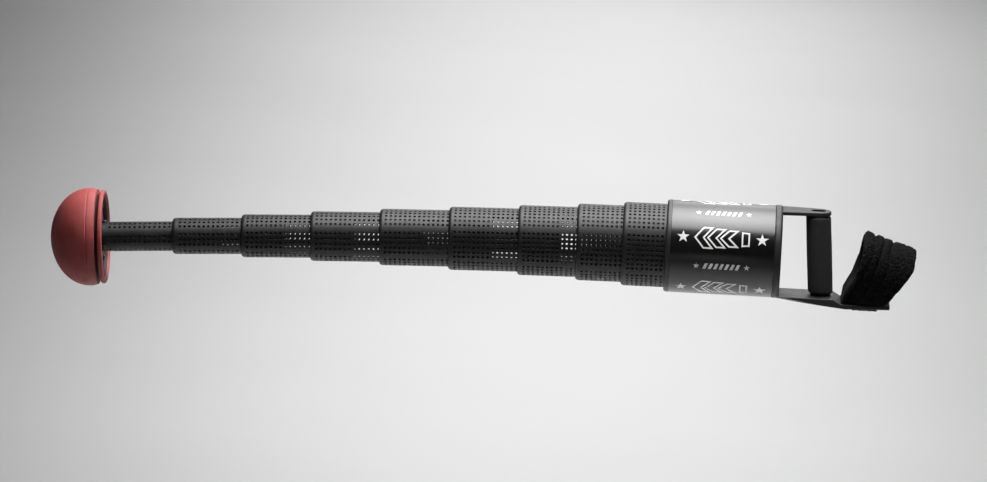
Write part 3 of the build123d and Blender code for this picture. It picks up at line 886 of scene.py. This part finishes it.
def strap_surface(turn, t, lift=0.0):
    """Point of the strap's outside, in the strap's own frame; turn 0 is the +Y side."""
    y, z = math.cos(turn), math.sin(turn)
    fold = noise.noise(Vector((y * 1.6, z * 1.6, t * 2.2 + 4.0))) * 1.4
    fold += noise.noise(Vector((y * 5 + t * 3.0, z * 5, t * 4.0 + 9.0))) * 0.9
    reach = strap_reach(y, z)
    height = reach * z
    front = float(np.interp(height, *zip(*STRAP_FRONT)))
    rear = float(np.interp(height, *zip(*STRAP_REAR)))
    stand = wrap_profile(t, turn) + fold * 0.6 + lift
    end = min(t, 1 - t) * (rear - front)
    if end < STRAP_ROLL:
        stand -= STRAP_ROLL - math.sqrt(STRAP_ROLL ** 2 - (STRAP_ROLL - end) ** 2)
    wave = 0.9 * noise.noise(Vector((y * 3, z * 3, 2.0 + t)))
    return Vector((front + (rear - front) * t + wave, (reach + stand) * y, (reach + stand) * z))


def terry_nap(point, depth):
    """Lumpy height of the looped pile, from tufts about 3 mm apart down to single loops."""
    tufts = noise.noise(point * 0.36) + 0.7 * noise.noise(point * 0.8 + Vector((7, 3, 5)))
    return depth * tufts


def make_strap_wrap():
    """The wraps round the wrist: folded, grooved outside and plain oval inside, flat on the arm."""
    vertices, faces = [], []
    for i in range(STRAP_STEPS):
        turn = 2 * math.pi * i / STRAP_STEPS
        y, z = math.cos(turn), math.sin(turn)
        out = Vector((0, y, z))
        for k in range(STRAP_ACROSS + 1):
            p = strap_surface(turn, k / STRAP_ACROSS)
            vertices.append(p + out * (terry_nap(p, OUTER_NAP) - NAP_SINK))
        first, last = vertices[-1].x - HEM, vertices[-STRAP_ACROSS - 1].x + HEM
        for k in range(STRAP_INSIDE + 1):
            p = Vector((first + (last - first) * k / STRAP_INSIDE, STRAP_BORE[0] * y, STRAP_BORE[1] * z))
            vertices.append(p + out * (INNER_STAND + terry_nap(p, INNER_NAP)))
    section = STRAP_ACROSS + STRAP_INSIDE + 2
    for i in range(STRAP_STEPS):
        a, b = i * section, ((i + 1) % STRAP_STEPS) * section
        for k in range(section):
            n = (k + 1) % section
            faces.append((a + k, a + n, b + n, b + k))
    points = []
    for v in vertices:
        p = STRAP_PLACE @ v
        if p.z < STRAP_FLOOR:
            p.z = STRAP_FLOOR + FLOOR_SQUASH * (p.z - STRAP_FLOOR)
        points.append(p)
    wrap = make_object("strap_wrap", points, faces, math.radians(180))
    finish_piece(wrap, ROOT, TERRY, ["wrist_strap"])


TAB_ROWS, TAB_COLUMNS = 24, 26
TAB_TURN = (-16, 38)          # where the hook tab starts round the strap and how far it goes, degrees
TAB_WIDTH = (0.24, 0.42)      # the same across the strap, as parts of its width
TAB_UNDER, TAB_TOP = 0.2, 1.9


def make_strap_tab():
    """Hook tape that closes the strap, laid over its wraps."""
    lower, upper = [], []
    for k in range(TAB_ROWS + 1):
        for i in range(TAB_COLUMNS + 1):
            turn = math.radians(TAB_TURN[0] + TAB_TURN[1] * i / TAB_COLUMNS)
            t = TAB_WIDTH[0] + TAB_WIDTH[1] * k / TAB_ROWS
            lower.append(STRAP_PLACE @ strap_surface(turn, t, TAB_UNDER))
            upper.append(STRAP_PLACE @ strap_surface(turn, t, TAB_TOP))
    faces = []
    count = len(lower)
    wide = TAB_COLUMNS + 1
    for k in range(TAB_ROWS):
        for i in range(TAB_COLUMNS):
            a = k * wide + i
            faces.append((a, a + 1, a + wide + 1, a + wide))
            faces.append((count + a, count + a + 1, count + a + wide + 1, count + a + wide))
    rim = list(range(wide)) + [k * wide + TAB_COLUMNS for k in range(1, TAB_ROWS + 1)]
    rim += [TAB_ROWS * wide + i for i in range(TAB_COLUMNS - 1, -1, -1)]
    rim += [k * wide for k in range(TAB_ROWS - 1, 0, -1)]
    for a, b in zip(rim, rim[1:] + rim[:1]):
        faces.append((a, b, count + b, count + a))
    tab = make_object("strap_tab", lower + upper, faces)
    finish_piece(tab, ROOT, HOOK_TAPE, ["strap_hook_tab"])


SLOT_X, SLOT_Y = 62.0, 19.0
BAND_HALF = 16.0
LEG_TOP = -50.0
LEG_THICK = 3.4
BELLY_TOP = -66.7             # upper side of the stretch under the arm
BELLY_THICK = 2.1
BAND_BEND = 2.2
LEG_STEPS, BEND_STEPS, BELLY_STEPS, BAND_ACROSS = 11, 8, 33, 33


def make_strap_band():
    """The stretch of strap that passes through the lower arm's slots and under the arm."""
    middle = BELLY_TOP - BELLY_THICK / 2
    bend_y, bend_z = -SLOT_Y + BAND_BEND, middle + BAND_BEND
    leg = [(-SLOT_Y, z, LEG_THICK) for z in np.linspace(LEG_TOP, bend_z, LEG_STEPS + 1)[:-1]]
    for k in range(BEND_STEPS + 1):
        a = math.pi + math.pi / 2 * k / BEND_STEPS
        thick = LEG_THICK + (BELLY_THICK - LEG_THICK) * k / BEND_STEPS
        leg.append((bend_y + BAND_BEND * math.cos(a), bend_z + BAND_BEND * math.sin(a), thick))
    belly = [(y, middle, BELLY_THICK) for y in np.linspace(bend_y, -bend_y, BELLY_STEPS + 1)[1:-1]]
    path = leg + belly + [(-y, z, thick) for y, z, thick in leg[::-1]]
    section = [(-BAND_HALF + 2 * BAND_HALF * k / BAND_ACROSS, 0.5) for k in range(BAND_ACROSS + 1)]
    section += [(-x, -side) for x, side in section]
    vertices, faces = [], []
    for k, (y, z, thick) in enumerate(path):
        before = Vector(path[max(k - 1, 0)][:2])
        after = Vector(path[min(k + 1, len(path) - 1)][:2])
        along = (after - before).normalized()
        out = Vector((0, along.y, -along.x))
        for x, side in section:
            p = Vector((SLOT_X + x, y, z)) + out * side * thick
            nap = terry_nap(p, BAND_NAP)
            p += out * (nap if side > 0 else min(nap, 0.0) * 0.2)
            p.x += 0.8 * noise.noise(Vector((y * 0.3, z * 0.3, x)))
            vertices.append(p)
    wide = len(section)
    for k in range(len(path) - 1):
        for i in range(wide):
            j = (i + 1) % wide
            faces.append((k * wide + i, k * wide + j, (k + 1) * wide + j, (k + 1) * wide + i))
    faces.append(tuple(range(wide)))
    faces.append(tuple((len(path) - 1) * wide + i for i in range(wide)))
    band = make_object("strap_band", vertices, faces, math.radians(180))
    finish_piece(band, ROOT, TERRY, ["wrist_strap"])


# ---- CAD nodes that keep their shape -------------------------------------------------------
CAD_MATERIALS = {
    "handle_frame": FRAME_PLASTIC, "grip_core": HOUSING_PLASTIC, "rear_buffer_pad": GRIP_FOAM,
    "head_foam_core": RAW_FOAM, "head_back_plate": PLATE_PLASTIC, "head_hub": HUB_PLASTIC,
    "grip_screws": STEEL, "tube_screws": BLACK_STEEL, "head_plate_screws": BLACK_STEEL,
}


def dress_cad_nodes():
    for node, material in CAD_MATERIALS.items():
        materials = NODES[node].data.materials
        materials.clear()
        materials.append(material)


# ---- studio, in metres ---------------------------------------------------------------------
FLOOR_Z = -1.25
FLOOR_HALF = 30.0
CAMERA_TARGET = Vector((-0.4236, 0.0, -0.0069))
CAMERA_DISTANCE = 8.45
CAMERA_AZIMUTH = math.radians(1.7)
CAMERA_ELEVATION = math.radians(12.0)
CAMERA_ROLL = math.radians(2.79)
CAMERA_LENS = 237.0           # mm, as the sensor's width
CAMERA_SENSOR = 36.0
CAMERA_REACH = 100.0


def make_floor():
    mesh = bpy.data.meshes.new("floor")
    corners = [(-1, -1), (1, -1), (1, 1), (-1, 1)]
    mesh.from_pydata([(x * FLOOR_HALF, y * FLOOR_HALF, FLOOR_Z) for x, y in corners], [], [(0, 1, 2, 3)])
    floor = bpy.data.objects.new("floor", mesh)
    bpy.context.scene.collection.objects.link(floor)
    surface = Surface("pale_floor", Roughness=0.9)
    surface.drift(surface.noise(1.5, 2), 0.74, 0.76)
    mesh.materials.append(surface.material)


def area_light(name, place, target, size, power, spread):
    data = bpy.data.lights.new(name, "AREA")
    data.shape = "RECTANGLE"
    data.size, data.size_y = size
    data.energy = power
    data.spread = math.radians(spread)
    light = bpy.data.objects.new(name, data)
    bpy.context.scene.collection.objects.link(light)
    light.location = place
    light.rotation_euler = (Vector(target) - Vector(place)).to_track_quat("-Z", "Y").to_euler()
    return light


# name: (place, what it points at, width and length, power in watts, spread in degrees)
LIGHTS = {
    "softbox_top": ((-0.1, 0.35, 1.3), (-0.1, 0.35, 0.0), (1.5, 2.5), 46, 96),
    "softbox_back": ((0.1, 2.9, 1.9), (0.1, 0.0, 0.0), (1.9, 1.8), 9.5, 100),
    "head_key": ((-0.30, 0.12, 1.30), (-0.965, 0.0, -0.01), (0.4, 0.4), 1.42, 28),
    "backdrop_wall": ((-0.4, 11.0, 0.8), (-0.4, 0.0, 0.0), (8.0, 3.6), 18, 70),
    "ceiling": ((0.0, 0.0, 5.0), (0.0, 0.0, 0.0), (12.0, 12.0), 66, 140),
}
# power of the panels that light only the floor, by the side they stand on in degrees; 0 is behind (+Y)
FLOOR_PANELS = {0: 50, 45: 24, 90: 60, 135: 48, 180: 34, 225: 46, 270: 52, 315: 16}
PANEL_CENTRE_X = -0.4
BACK_PANEL_DISTANCE, PANEL_DISTANCE = 6.4, 7.4
PANEL_SIZE = (1.9, 7.0)
PANEL_HEIGHT = 0.25
PANEL_SPREAD = 108
WORLD_COLOUR = (0.8, 0.82, 0.85, 1)
WORLD_STRENGTH = 0.03


def make_lights():
    """Gridded softbox over the stick, a weaker one behind it, a narrow key for the head, one more far
    behind, a weak ceiling, and low panels round the stick that light only the floor."""
    for name, (place, target, size, power, spread) in LIGHTS.items():
        area_light(name, place, target, size, power, spread)
    for side, power in FLOOR_PANELS.items():
        a = math.radians(side)
        away = BACK_PANEL_DISTANCE if side == 0 else PANEL_DISTANCE
        place = (PANEL_CENTRE_X + away * math.sin(a), away * math.cos(a), PANEL_HEIGHT)
        under = (*place[:2], FLOOR_Z)
        panel = area_light(f"floor_panel_{side}", place, under, PANEL_SIZE, power, PANEL_SPREAD)
        panel.rotation_euler.z -= a

    world = bpy.data.worlds.new("studio")
    world.use_nodes = True
    background = world.node_tree.nodes["Background"]
    background.inputs["Color"].default_value = WORLD_COLOUR
    background.inputs["Strength"].default_value = WORLD_STRENGTH
    bpy.context.scene.world = world


def make_camera():
    data = bpy.data.cameras.new("camera")
    data.lens = CAMERA_LENS
    data.sensor_width = CAMERA_SENSOR
    data.sensor_fit = "HORIZONTAL"
    data.clip_end = CAMERA_REACH
    camera = bpy.data.objects.new("camera", data)
    bpy.context.scene.collection.objects.link(camera)
    away = Vector((
        math.sin(CAMERA_AZIMUTH) * math.cos(CAMERA_ELEVATION),
        -math.cos(CAMERA_AZIMUTH) * math.cos(CAMERA_ELEVATION),
        math.sin(CAMERA_ELEVATION),
    ))
    camera.location = CAMERA_TARGET + away * CAMERA_DISTANCE
    upright = (-away).to_track_quat("-Z", "Y")
    roll = Matrix.Rotation(CAMERA_ROLL, 4, "Z").to_quaternion()
    camera.rotation_euler = (upright @ roll).to_euler()
    bpy.context.scene.camera = camera


def set_view():
    scene = bpy.context.scene
    scene.view_settings.view_transform = "Standard"
    scene.view_settings.look = "None"


make_camera()
make_floor()
make_lights()
set_view()
make_tubes()
make_housing()
make_print()
make_head()
make_grip()
make_strap_wrap()
make_strap_tab()
make_strap_band()
dress_cad_nodes()
